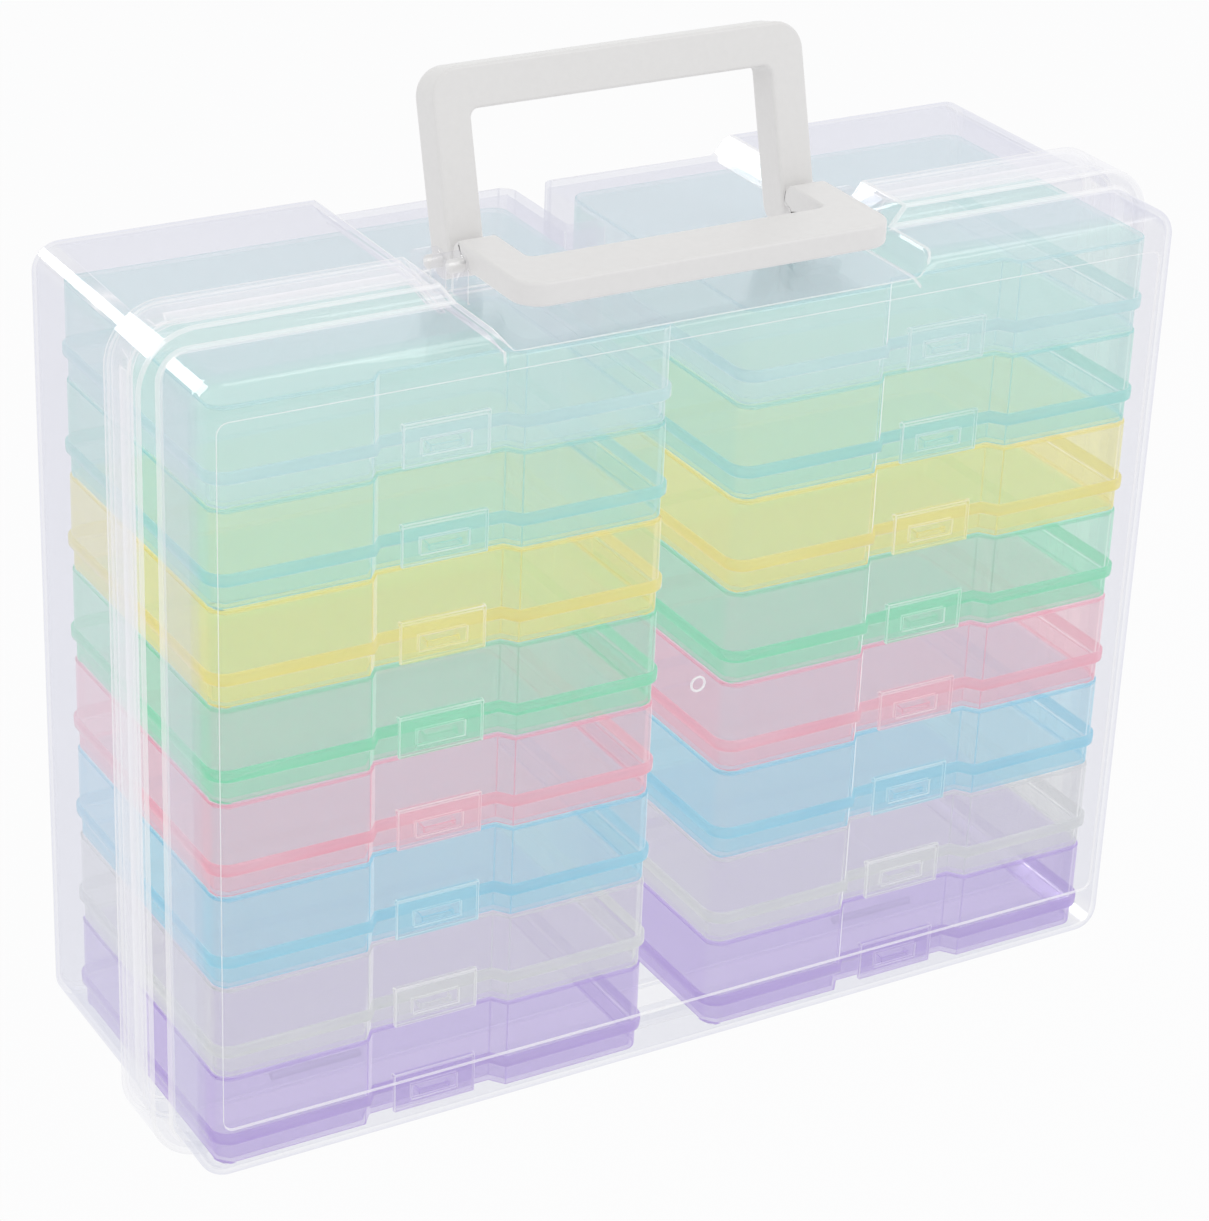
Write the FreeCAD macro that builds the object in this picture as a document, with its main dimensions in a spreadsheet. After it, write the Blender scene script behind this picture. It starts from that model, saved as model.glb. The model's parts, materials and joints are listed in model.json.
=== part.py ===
import FreeCAD, Part
import os
import Sketcher
from FreeCAD import Vector

# Photo keeper case, standing upright as it is carried.
# Two clear half shells stand on their hinge side and close like a suitcase. The deep back shell
# holds two columns of eight flat inner cases, the front shell overlaps it with a raised belt,
# and each shell has one white carrying handle in a channel along the top.
# X runs along the width, +Y points to the back, +Z up. The origin lies on the ground, centred
# in the width and in the depth of the closed shells. All lengths are in millimetres.

doc = FreeCAD.newDocument("photo_keeper_case")
sheet = doc.addObject("Spreadsheet::Sheet", "Sizes")

SIZES = [
    # Shells
    ("body_width", 368.0, "outside width of both shells below the belt"),
    ("body_height", 288.0, "outside height of both shells below the belt"),
    ("body_depth", 132.0, "closed depth from front face to back face"),
    ("lid_depth", 54.0, "depth of the front shell, face to seam"),
    ("belt_rise", 7.0, "how far the belt stands out all round"),
    ("belt_depth", 27.0, "width of the belt, measured along the depth"),
    ("shell_wall", 2.0, "wall of both shells"),
    ("body_corner", 10.0, "radius of the long body corners"),
    ("belt_corner", 20.0, "radius of the belt corners"),
    ("face_round", 6.0, "radius round the front face"),
    ("back_chamfer", 2.4, "chamfer round the back face"),
    ("inner_chamfer", 2.5, "chamfer inside the front face's edges"),
    ("seam_gap", 0.3, "gap between the two shells at the seam"),
    ("bell_depth", 13.0, "how far the back shell's rim reaches into the belt"),
    ("bell_gap", 0.8, "clearance of that rim inside the belt"),
    ("overrun", 5.0, "how far a cutter runs past what it cuts"),
    # Channel for the handles
    ("channel_width", 164.0, "handle channel at the top of the shells"),
    ("channel_floor", 152.0, "flat floor of the handle channel"),
    ("channel_depth", 7.5, "depth of the handle channel"),
    ("channel_round", 2.5, "radius at the foot of the channel's sides"),
    ("slant_share", 1.3, "level width of a wall beside the channel, as a share of the wall"),
    # Groove in the back that parts the two columns
    ("groove_width", 12.0, "width of the groove in the back"),
    ("groove_depth", 41.0, "how far the groove reaches forward"),
    ("groove_lip", 5.0, "radius of the shoulders beside the groove"),
    # Stepped panel of the front face
    ("panel_side", 7.0, "margin of the stepped panel from the shell's sides"),
    ("panel_low", 20.0, "margin of the panel from the shell's lower side"),
    ("panel_high", 14.0, "margin of the panel from the shell's upper side"),
    ("panel_step", 0.9, "depth of the panel's step"),
    ("panel_corner", 4.0, "corner radius of the panel"),
    # Hinge under the seam
    ("hinge_inset", 74.0, "distance of each hinge from the shells' side"),
    ("knuckle_radius", 3.3, "outside radius of the hinge knuckles"),
    ("hinge_height", 3.4, "height of the hinge line above the ground"),
    ("hinge_back", 1.0, "how far the hinge line lies behind the seam"),
    ("pin_radius", 1.5, "radius of the hinge pins"),
    ("pin_gap", 0.07, "running clearance round every pin"),
    ("inner_knuckle", 20.0, "length of the back shell's knuckle"),
    ("outer_knuckle", 14.0, "length of each knuckle of the front shell"),
    ("knuckle_gap", 0.4, "side gap between knuckles"),
    # Feet of the back shell
    ("foot_inset", 44.0, "distance of each foot from the shells' side"),
    ("foot_width", 12.0, "width of a foot"),
    ("foot_front", 18.0, "front end of the feet, behind the middle"),
    ("foot_length", 38.0, "length of the feet along the depth"),
    # Handles
    ("handle_width", 140.0, "outside width of both handles"),
    ("handle_corner", 10.0, "outer corner radius of both handles"),
    ("handle_inner", 3.0, "radius inside the handle corners"),
    ("rear_leg", 13.2, "width of a leg of the rear handle"),
    ("rear_bar", 14.2, "height of the rear handle's grip"),
    ("rear_thick", 13.2, "thickness of the rear handle"),
    ("rear_length", 61.4, "rear handle from its pivot to its top"),
    ("rear_pivot_back", 7.4, "rear handle's pivot behind the seam"),
    ("rear_pivot_height", 295.2, "height of the rear handle's pivot"),
    ("rear_lean", 15.0, "backward lean of the rear handle as it stands, in degrees"),
    ("front_leg", 14.2, "width of a leg of the front handle"),
    ("front_bar", 23.0, "depth of the front handle's grip"),
    ("front_thick", 8.2, "thickness of the front handle"),
    ("front_length", 40.6, "front handle from its pivot to the grip's far edge"),
    ("front_pivot_ahead", 7.9, "front handle's pivot ahead of the seam"),
    ("front_pivot_height", 299.0, "height of the front handle's pivot"),
    ("front_back_offset", 6.8, "distance of the front handle's back from its pivot line"),
    ("front_end", 7.5, "how far the front handle's legs reach past the pivot"),
    ("front_end_round", 5.0, "radius at the end of the front handle's legs"),
    ("front_hub", 4.0, "radius of the front handle's hubs"),
    ("front_fold", 90.0, "forward fold of the front handle as it lies, in degrees"),
    ("stud_radius", 2.4, "radius of the handles' pivot studs"),
    ("stud_length", 5.5, "length of the handles' pivot studs"),
    ("ear_gap", 0.5, "side gap between a handle and its ear"),
    ("ear_width", 8.0, "width of the ears that carry the handles"),
    ("ear_top", 4.4, "how far an ear reaches above its pivot"),
    ("ear_half", 5.6, "half the depth of an ear"),
    # Inner cases
    ("case_play", 4.2, "gap on each side of an inner case, at its rim"),
    ("case_depth", 122.0, "depth of an inner case at its rim"),
    ("case_height", 34.0, "height of an inner case"),
    ("case_pitch", 34.4, "height from one inner case to the next"),
    ("case_gap", 0.3, "gap below the lowest case and behind all cases"),
    ("case_wall", 1.3, "wall of the inner cases"),
    ("case_corner", 16.0, "corner radius of the inner cases"),
    ("corner_share", 0.7, "cut corners of an inner case's hollow, as a share of their radius"),
    ("case_front_gap", 2.0, "gap between the cases and the front shell"),
    ("tray_height", 8.0, "height of the tray of an inner case"),
    ("tray_draw", 0.6, "how far the tray's sides stand in from the cover's"),
    ("rim_out", 1.2, "how far the rim stands out"),
    ("rim_gap", 0.2, "gap between cover and tray"),
    ("bay_width", 48.0, "width of the set-back middle of a front wall"),
    ("bay_depth", 5.0, "how far the middle of a front wall is set back"),
    ("bay_slant", 4.0, "width of the slanted step beside it"),
    # Latches of the inner cases
    ("latch_width", 31.0, "width of a latch"),
    ("latch_top", 15.8, "top of a latch above its case's bottom"),
    ("latch_low", 0.6, "how far a latch clears its case's bottom"),
    ("latch_thick", 1.6, "thickness of a latch"),
    ("latch_gap", 0.3, "gap between a latch and the wall behind it"),
    ("latch_bead", 1.3, "radius of a latch's head round its hinge line"),
    ("window_width", 17.0, "window of a latch"),
    ("window_high", 9.6, "top of the window above the case's bottom"),
    ("window_low", 4.2, "bottom of the window above the case's bottom"),
    ("catch_width", 12.0, "catch on the tray's front wall"),
    ("catch_high", 7.4, "top of the catch above the case's bottom"),
    ("catch_low", 5.2, "bottom of the catch above the case's bottom"),
]

COLUMNS = ("left", "right")
ROWS = 8
COLUMN_SIDE_SHARES = (-1.0, 1.0)

for row, (alias, value, meaning) in enumerate(SIZES, start=1):
    sheet.set(f"A{row}", meaning)
    sheet.set(f"B{row}", str(value))
    sheet.setAlias(f"B{row}", alias)
doc.recompute()


class Size:
    """A length that carries both its value and the sheet expression it comes from."""

    def __init__(self, value, text):
        self.value = float(value)
        self.text = text

    def __add__(self, other):
        other = as_size(other)
        return Size(self.value + other.value, f"({self.text} + {other.text})")

    def __sub__(self, other):
        other = as_size(other)
        return Size(self.value - other.value, f"({self.text} - {other.text})")

    def __mul__(self, share):
        share = as_size(share)
        return Size(self.value * share.value, f"({self.text} * {share.text})")

    def __truediv__(self, share):
        share = as_size(share)
        return Size(self.value / share.value, f"({self.text} / {share.text})")

    def __neg__(self):
        return Size(-self.value, f"(-1 * {self.text})")


NEAR = 0.01


def near(one, other):
    return abs(one - other) < NEAR


def as_size(number):
    return number if isinstance(number, Size) else Size(number, f"({number})")


def size(alias):
    return Size(sheet.get(alias), f"Sizes.{alias}")


S = {alias: size(alias) for alias, value, meaning in SIZES}
ZERO = as_size(0.0)

# Places that several pieces share
ground = ZERO
body_low = S["belt_rise"]
body_high = S["belt_rise"] + S["body_height"]
belt_side = S["body_width"] / 2 + S["belt_rise"]
belt_high = body_high + S["belt_rise"]
front_face = -(S["body_depth"] / 2)
back_face = S["body_depth"] / 2
seam = front_face + S["lid_depth"]
belt_front = seam - S["belt_depth"]
channel_low = body_high - S["channel_depth"]
hinge_line = seam + S["hinge_back"]


def new_body(label):
    body = doc.addObject("PartDesign::Body", label)
    body.Label = label
    return body


def place(body, **axes):
    """Puts a body at x, y and z, each given as a size."""
    for axis, distance in axes.items():
        body.setExpression(f".Placement.Base.{axis}", distance.text)


def new_sketch(body, role, away):
    """Sketch on the body's XY, XZ or YZ plane, moved along the plane's own axis by away."""
    sketch = body.newObject("Sketcher::SketchObject", body.Label + "_sketch")
    plane = [item for item in body.Origin.OriginFeatures if item.Role == role][0]
    sketch.AttachmentSupport = [(plane, "")]
    sketch.MapMode = "FlatFace"
    along_normal = -away if role == "XZ_Plane" else away
    sketch.setExpression(".AttachmentOffset.Base.z", along_normal.text)
    return sketch


def pin_point(sketch, element, end, corner):
    """Ties one point of the sketch to a pair of sizes from the sketch's origin."""
    for kind, distance in zip(("DistanceX", "DistanceY"), corner):
        rule = Sketcher.Constraint(kind, -1, 1, element, end, distance.value)
        number = sketch.addConstraint(rule)
        sketch.setExpression(f"Constraints[{number}]", distance.text)


def step_from(corner, other, reach):
    """The point at a reach from a corner, along the level or upright side to the other one."""
    moved = list(corner[:2])
    axis = 0 if near(corner[1].value, other[1].value) else 1
    towards = as_size(1 if other[axis].value > corner[axis].value else -1)
    moved[axis] = corner[axis] + reach * towards
    return tuple(moved)


def draw_outline(sketch, corners):
    """Closed outline through corners, each a pair of sizes, with a third one if it is round."""
    stops = []
    for index, corner in enumerate(corners):
        if len(corner) == 3:
            stops.append((step_from(corner, corners[index - 1], corner[2]), corner))
            following = corners[(index + 1) % len(corners)]
            stops.append((step_from(corner, following, corner[2]), None))
        else:
            stops.append((corner, None))
    first = sketch.GeometryCount
    elements = []
    for index, (start, rounded) in enumerate(stops):
        end = stops[(index + 1) % len(stops)][0]
        begin_at = Vector(start[0].value, start[1].value, 0)
        end_at = Vector(end[0].value, end[1].value, 0)
        if rounded:
            tip = Vector(rounded[0].value, rounded[1].value, 0)
            centre = begin_at + end_at - tip
            bulge = centre + (tip - centre).normalize() * rounded[2].value
            elements.append((sketch.addGeometry(Part.Arc(begin_at, bulge, end_at)), rounded[2]))
        else:
            elements.append((sketch.addGeometry(Part.LineSegment(begin_at, end_at)), None))
    for index, (start, rounded) in enumerate(stops):
        element, radius = elements[index]
        before = elements[index - 1][0]
        start_point = nearest_end(sketch, element, start)
        rule = Sketcher.Constraint("Coincident", before, nearest_end(sketch, before, start),
                                   element, start_point)
        sketch.addConstraint(rule)
        pin_point(sketch, element, start_point, start)
    for element, radius in elements:
        if radius:
            number = sketch.addConstraint(Sketcher.Constraint("Radius", element, radius.value))
            sketch.setExpression(f"Constraints[{number}]", radius.text)


def nearest_end(sketch, element, point):
    """Which end of an element, 1 or 2, lies at a point."""
    start = sketch.getPoint(element, 1)
    at_start = near(start.x, point[0].value) and near(start.y, point[1].value)
    return 1 if at_start else 2


def draw_circle(sketch, centre, radius):
    point = Vector(centre[0].value, centre[1].value, 0)
    element = sketch.addGeometry(Part.Circle(point, Vector(0, 0, 1), radius.value))
    pin_point(sketch, element, 3, centre)
    number = sketch.addConstraint(Sketcher.Constraint("Radius", element, radius.value))
    sketch.setExpression(f"Constraints[{number}]", radius.text)


def extrude(body, kind, sketch, length, reverse):
    """Pad or pocket of a sketch. The volume has to change, or the cut or pad missed."""
    before = body.Shape.Volume if body.Tip else 0.0
    feature = body.newObject("PartDesign::" + kind, body.Label + "_" + kind.lower())
    feature.Profile = sketch
    feature.setExpression("Length", length.text)
    feature.Reversed = reverse
    doc.recompute()
    if near(feature.Shape.Volume, before):
        raise RuntimeError(f"{feature.Label} changes nothing")
    return feature


def forward(body, kind, start, end, *outlines):
    """Pad or pocket of front-view outlines, from depth start forward to depth end."""
    sketch = new_sketch(body, "XZ_Plane", start)
    for outline in outlines:
        draw_outline(sketch, outline)
    return extrude(body, kind, sketch, start - end, kind == "Pocket")


def upward(body, kind, start, end, *outlines):
    """Pad or pocket of plan outlines, from height start up to height end."""
    sketch = new_sketch(body, "XY_Plane", start)
    for outline in outlines:
        draw_outline(sketch, outline)
    return extrude(body, kind, sketch, end - start, kind == "Pocket")


def sideways(body, kind, start, end, *outlines):
    """Pad or pocket of side-view outlines, from start along the width to end."""
    sketch = new_sketch(body, "YZ_Plane", start)
    for outline in outlines:
        draw_outline(sketch, outline)
    return extrude(body, kind, sketch, end - start, kind == "Pocket")


def bar(body, kind, start, end, centre, radius):
    """Round pad or pocket along the width, from start to end."""
    sketch = new_sketch(body, "YZ_Plane", start)
    draw_circle(sketch, centre, radius)
    return extrude(body, kind, sketch, end - start, kind == "Pocket")


def edge_names(feature, wanted):
    names = [f"Edge{n}" for n, edge in enumerate(feature.Shape.Edges, start=1) if wanted(edge)]
    if not names:
        raise RuntimeError(f"no edge found on {feature.Label}")
    return names


def round_edges(body, feature, wanted, radius):
    names = edge_names(feature, wanted)
    fillet = body.newObject("PartDesign::Fillet", body.Label + "_fillet")
    fillet.Base = (feature, names)
    fillet.setExpression("Radius", radius.text)
    doc.recompute()
    return fillet


def cut_edges(body, feature, wanted, width):
    """Chamfers the wanted edges by a width on both sides."""
    chamfer = body.newObject("PartDesign::Chamfer", body.Label + "_chamfer")
    chamfer.Base = (feature, edge_names(feature, wanted))
    chamfer.setExpression("Size", width.text)
    doc.recompute()
    return chamfer


def runs_along(edge, axis):
    """True for a straight edge that lies along one axis."""
    if len(edge.Vertexes) < 2:
        return False
    step = edge.Vertexes[1].Point - edge.Vertexes[0].Point
    along = abs(getattr(step, axis))
    return along > NEAR and near(along, step.Length)


def corner_edges(axis, across, along, corners):
    """Picks the edges along an axis that pass through the given corners, seen along it."""
    def wanted(edge):
        if not runs_along(edge, axis):
            return False
        point = edge.Vertexes[0].Point
        seen = (getattr(point, across), getattr(point, along))
        return any(near(seen[0], c[0].value) and near(seen[1], c[1].value) for c in corners)
    return wanted


def rectangle(low_across, high_across, low_along, high_along, *radius):
    return [(low_across, low_along, *radius), (high_across, low_along, *radius),
            (high_across, high_along, *radius), (low_across, high_along, *radius)]


def lying_in(axis, level):
    """Picks the edges that lie in the plane at a level of one axis."""
    def wanted(edge):
        box = edge.BoundBox
        ends = (getattr(box, axis.upper() + "Min"), getattr(box, axis.upper() + "Max"))
        return near(ends[0], level.value) and near(ends[1], level.value)
    return wanted


def turn(body, angle):
    """Turns a body about the width axis."""
    body.Placement.Rotation = FreeCAD.Rotation(Vector(1, 0, 0), angle.value)
    body.setExpression(".Placement.Rotation.Angle", angle.text)


# Outlines that the two shells share
def channel_half(height):
    """Half the width of the handle channel at a height, straight up its slanted sides."""
    slant = (S["channel_width"] - S["channel_floor"]) / 2 / S["channel_depth"]
    return S["channel_floor"] / 2 + (height - channel_low) * slant


def channelled(side, low, high, shift, floor, low_radius, radius):
    """Rectangle with the channel in its top edge, the channel's sides shifted outwards."""
    wide = channel_half(high) + shift
    narrow = channel_half(floor) + shift
    return [(-side, low, low_radius), (side, low, low_radius), (side, high, radius),
            (wide, high), (narrow, floor), (-narrow, floor), (-wide, high),
            (-side, high, radius)]


wall = S["shell_wall"]
slanted_wall = wall * S["slant_share"]
body_side = S["body_width"] / 2
body_box = rectangle(-body_side, body_side, body_low, body_high, S["body_corner"])
belt_box = rectangle(-belt_side, belt_side, ground, belt_high, S["belt_corner"])
cell_start = S["groove_width"] / 2 + wall
cell_end = body_side - wall
cavity_low = body_low + wall
cavity_high = body_high - wall
cavity_floor = channel_low - wall
cavity_corner = S["body_corner"] - wall
cavity_outline = channelled(cell_end, cavity_low, cavity_high, slanted_wall, cavity_floor,
                            cavity_corner, cavity_corner)
channel_over = belt_high + S["overrun"]
channel_feet = [(channel_half(channel_low), channel_low), (-channel_half(channel_low), channel_low)]
channel_cutter = [(-channel_half(channel_over), channel_over),
                  (channel_half(channel_over), channel_over), *channel_feet]

ear_start = S["handle_width"] / 2 + S["ear_gap"]
ear_end = ear_start + S["ear_width"]
hinge_place = body_side - S["hinge_inset"]
knuckle_start = hinge_place - S["inner_knuckle"] / 2
knuckle_end = hinge_place + S["inner_knuckle"] / 2
hinge_axis = (hinge_line, S["hinge_height"])
bore = S["pin_radius"] + S["pin_gap"]


def both_sides(start, end):
    """A stretch along the width, and the same stretch on the other side of the middle."""
    return ((start, end), (-end, -start))


def add_ears(body, pivot_depth, pivot_height):
    """Ears beside the channel that carry a handle's studs."""
    top = pivot_height + S["ear_top"]
    outline = rectangle(pivot_depth - S["ear_half"], pivot_depth + S["ear_half"],
                        channel_low - wall / 2, top)
    for start, end in both_sides(ear_start, ear_end):
        solid = sideways(body, "Pad", start, end, outline)
    rims = [(pivot_depth - S["ear_half"], top), (pivot_depth + S["ear_half"], top)]
    round_edges(body, solid, corner_edges("x", "y", "z", rims), S["ear_top"])
    hole = S["stud_radius"] + S["pin_gap"]
    for start, end in both_sides(ear_start - S["ear_gap"], ear_start + S["stud_length"]):
        bar(body, "Pocket", start, end, (pivot_depth, pivot_height), hole)


def add_knuckles(body, start, end, web):
    """Knuckles with their web for one stretch, on both sides, bored for the pin."""
    for low, high in both_sides(start, end):
        sideways(body, "Pad", low, high, web)
        bar(body, "Pad", low, high, hinge_axis, S["knuckle_radius"])
        bar(body, "Pocket", low - S["knuckle_gap"], high + S["knuckle_gap"], hinge_axis, bore)


# Front shell, the thinner half, whose belt overlaps the rim of the back shell
def make_front_shell():
    body = new_body("front_shell")
    rim = seam - S["seam_gap"]
    forward(body, "Pad", rim, front_face, body_box)
    solid = forward(body, "Pad", rim, belt_front, belt_box)
    solid = round_edges(body, solid, lying_in("y", front_face), S["face_round"])
    solid = forward(body, "Pocket", rim + S["overrun"], front_face - S["overrun"], channel_cutter)
    solid = round_edges(body, solid, corner_edges("y", "x", "z", channel_feet), S["channel_round"])

    hollow_face = front_face + wall
    solid = forward(body, "Pocket", rim + S["overrun"], hollow_face, cavity_outline)
    cut_edges(body, solid, lying_in("y", hollow_face), S["inner_chamfer"])
    corner = S["belt_corner"] - wall
    inner_belt = channelled(belt_side - wall, ground + wall, belt_high - wall, slanted_wall,
                            cavity_floor, corner, corner)
    solid = forward(body, "Pocket", rim + S["overrun"], belt_front + wall, inner_belt)

    half = body_side - S["panel_side"]
    panel = rectangle(-half, half, body_low + S["panel_low"], body_high - S["panel_high"])
    solid = forward(body, "Pocket", front_face + S["panel_step"], front_face - S["overrun"], panel)
    round_edges(body, solid, corner_edges("y", "x", "z", panel), S["panel_corner"])

    add_ears(body, seam - S["front_pivot_ahead"], S["front_pivot_height"])
    low = S["hinge_height"] - S["knuckle_radius"]
    back = hinge_line - S["knuckle_radius"] - S["pin_radius"]
    web = [(hinge_line, low), (back - wall, low), (back - wall, ground + wall),
           (hinge_line, S["hinge_height"] + S["knuckle_radius"])]
    for start, end in both_sides(knuckle_start - S["knuckle_gap"], knuckle_end + S["knuckle_gap"]):
        relief = rectangle(hinge_line - S["knuckle_radius"] - S["knuckle_gap"], seam + S["overrun"],
                           ground - S["overrun"], ground + wall + S["knuckle_gap"])
        sideways(body, "Pocket", start, end, relief)
    outer_start = knuckle_end + S["knuckle_gap"]
    add_knuckles(body, outer_start, outer_start + S["outer_knuckle"], web)
    return body


# Back shell, the deep half, with its rim inside the belt and a groove between the columns
def make_back_shell():
    body = new_body("back_shell")
    forward(body, "Pad", back_face, seam, body_box)
    gap = S["bell_gap"]
    bell_side = belt_side - wall - gap
    bell_high = belt_high - wall - gap
    bell_front = seam - S["bell_depth"]
    bell_shift = slanted_wall + gap * S["slant_share"]
    bell_corner = S["belt_corner"] - wall - gap
    bell_foot = S["belt_corner"] - S["belt_rise"]
    bell = channelled(bell_side, body_low, bell_high, bell_shift, cavity_floor - wall,
                      bell_foot, bell_corner)
    solid = forward(body, "Pad", seam, bell_front, bell)
    solid = cut_edges(body, solid, lying_in("y", back_face), S["back_chamfer"])
    solid = forward(body, "Pocket", back_face + S["overrun"], seam, channel_cutter)
    solid = round_edges(body, solid, corner_edges("y", "x", "z", channel_feet), S["channel_round"])

    inner_bell = channelled(bell_side - wall, cavity_low, bell_high - wall,
                            bell_shift + slanted_wall, cavity_floor,
                            bell_foot - wall, bell_corner - wall)
    forward(body, "Pocket", seam - wall, bell_front - S["overrun"], inner_bell)
    groove_front = back_face - S["groove_depth"]
    cell_back = back_face - wall
    cell_front = groove_front - wall
    forward(body, "Pocket", cell_front, seam - wall, cavity_outline)
    right_cell = [corner for corner in cavity_outline if corner[0].value > 0]
    right_cell = [(cell_start, cavity_low), *right_cell, (cell_start, cavity_floor)]
    left_cell = [(-corner[0], *corner[1:]) for corner in right_cell]
    for cell in (left_cell, right_cell):
        solid = forward(body, "Pocket", cell_back, cell_front, cell)
    half = S["groove_width"] / 2
    groove = rectangle(-half, half, groove_front, back_face + S["overrun"])
    solid = upward(body, "Pocket", ground - S["overrun"], channel_over, groove)
    shoulders = [(-half, back_face), (half, back_face)]
    round_edges(body, solid, corner_edges("z", "x", "y", shoulders), S["groove_lip"])

    add_ears(body, seam + S["rear_pivot_back"], S["rear_pivot_height"])
    web = rectangle(hinge_line - S["knuckle_radius"], hinge_line + S["knuckle_radius"],
                    S["hinge_height"], body_low + wall / 2)
    add_knuckles(body, knuckle_start, knuckle_end, web)
    foot_start = body_side - S["foot_inset"] - S["foot_width"] / 2
    for start, end in both_sides(foot_start, foot_start + S["foot_width"]):
        foot = rectangle(start, end, S["foot_front"], S["foot_front"] + S["foot_length"])
        upward(body, "Pad", ground, body_low + wall / 2, foot)
    return body


def make_pin(side, share):
    body = new_body("hinge_pin_" + side)
    reach = (S["inner_knuckle"] + S["knuckle_gap"] + S["outer_knuckle"]) / 2
    bar(body, "Pad", -reach, reach, (ZERO, ZERO), S["pin_radius"])
    middle = knuckle_start + reach
    place(body, x=middle * share, y=hinge_line, z=S["hinge_height"])


# Handles, drawn upright with their pivot line as the origin
def make_handle(label, leg, grip, length, thick, back, leg_end):
    body = new_body(label)
    side = S["handle_width"] / 2
    inner = side - leg
    arch = [(-side, -leg_end), (-inner, -leg_end), (-inner, length - grip), (inner, length - grip),
            (inner, -leg_end), (side, -leg_end), (side, length), (-side, length)]
    solid = forward(body, "Pad", back, back - thick, arch)
    top = [(-side, length), (side, length)]
    solid = round_edges(body, solid, corner_edges("y", "x", "z", top), S["handle_corner"])
    under = [(-inner, length - grip), (inner, length - grip)]
    solid = round_edges(body, solid, corner_edges("y", "x", "z", under), S["handle_inner"])
    return body, solid, side, inner


def make_rear_handle():
    half = S["rear_thick"] / 2
    body, solid, side, inner = make_handle(
        "rear_handle", S["rear_leg"], S["rear_bar"], S["rear_length"], S["rear_thick"], half, ZERO)
    for start, end in both_sides(inner, side):
        solid = bar(body, "Pad", start, end, (ZERO, ZERO), half)
    for start, end in both_sides(side - S["stud_length"], side + S["stud_length"]):
        bar(body, "Pad", start, end, (ZERO, ZERO), S["stud_radius"])
    place(body, y=seam + S["rear_pivot_back"], z=S["rear_pivot_height"])
    turn(body, -S["rear_lean"])


def make_front_handle():
    back = S["front_back_offset"]
    body, solid, side, inner = make_handle(
        "front_handle", S["front_leg"], S["front_bar"], S["front_length"], S["front_thick"],
        back, S["front_end"])
    ends = [(back, -S["front_end"])]
    solid = round_edges(body, solid, corner_edges("x", "y", "z", ends), S["front_end_round"])
    for start, end in both_sides(inner, side):
        bar(body, "Pad", start, end, (ZERO, ZERO), S["front_hub"])
    for start, end in both_sides(side - S["stud_length"], side + S["stud_length"]):
        bar(body, "Pad", start, end, (ZERO, ZERO), S["stud_radius"])
    place(body, y=seam - S["front_pivot_ahead"], z=S["front_pivot_height"])
    turn(body, S["front_fold"])


# Inner cases: a deep cover upside down over a shallow tray, closed by a latch in front
def case_plan(inset):
    """Plan of an inner case with the set-back middle of its front wall."""
    side = (cell_end - cell_start) / 2 - S["case_play"] - inset
    front = inset - S["case_depth"] / 2
    outer = (S["bay_width"] + S["bay_slant"]) / 2 + inset / 2
    inner = outer - S["bay_slant"]
    bay = front + S["bay_depth"]
    back = -front
    corner = S["case_corner"] - inset
    return [(-side, front, corner), (-outer, front), (-inner, bay), (inner, bay),
            (outer, front), (side, front, corner), (side, back, corner), (-side, back, corner)]


def case_hollow(inset):
    """The same plan for the inside, with its corners cut off straight."""
    cut = []
    plan = case_plan(inset)
    for index, corner in enumerate(plan):
        if len(corner) == 2:
            cut.append(corner)
            continue
        reach = corner[2] * S["corner_share"]
        cut.append(step_from(corner, plan[index - 1], reach))
        cut.append(step_from(corner, plan[(index + 1) % len(plan)], reach))
    return cut


cover_low = S["tray_height"] + S["rim_gap"]
bay_wall = S["rim_out"] - S["case_depth"] / 2 + S["bay_depth"]
bay_rim = bay_wall - S["rim_out"]
latch_back = bay_rim - S["latch_gap"]
latch_front = latch_back - S["latch_thick"]
latch_hinge = (latch_front + S["latch_bead"], S["latch_top"] - S["latch_bead"])


def make_cover(label):
    body = new_body(label)
    outer = case_plan(S["rim_out"])
    solid = upward(body, "Pad", cover_low, S["case_height"], outer)
    inner = case_hollow(S["rim_out"] + S["case_wall"])
    roof = S["case_height"] - S["case_wall"]
    upward(body, "Pocket", cover_low - S["overrun"], roof, inner)
    return body


def make_tray(label):
    body = new_body(label)
    outer = case_plan(S["rim_out"] + S["tray_draw"])
    solid = upward(body, "Pad", ZERO, S["tray_height"], outer)
    inner = case_hollow(S["rim_out"] + S["tray_draw"] + S["case_wall"])
    upward(body, "Pocket", S["case_wall"], S["tray_height"] + S["overrun"], inner)
    half = S["catch_width"] / 2
    catch = rectangle(-half, half, S["catch_low"], S["catch_high"])
    forward(body, "Pad", bay_wall + S["case_wall"], latch_front, catch)
    return body


def make_latch(label):
    body = new_body(label)
    half = S["latch_width"] / 2
    plate = rectangle(-half, half, S["latch_low"], latch_hinge[1])
    opening = S["window_width"] / 2
    window = rectangle(-opening, opening, S["window_low"], S["window_high"])
    forward(body, "Pad", latch_back, latch_front, plate, window)
    head_low = S["latch_top"] - S["latch_bead"] * 2
    head_back = latch_front + S["latch_bead"] * 2
    head = rectangle(-half, half, head_low, S["latch_top"])
    solid = forward(body, "Pad", head_back, latch_front, head)
    hinge_side = corner_edges("x", "y", "z", [(head_back, S["latch_top"])])
    round_edges(body, solid, hinge_side, S["latch_bead"])
    return body


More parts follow.
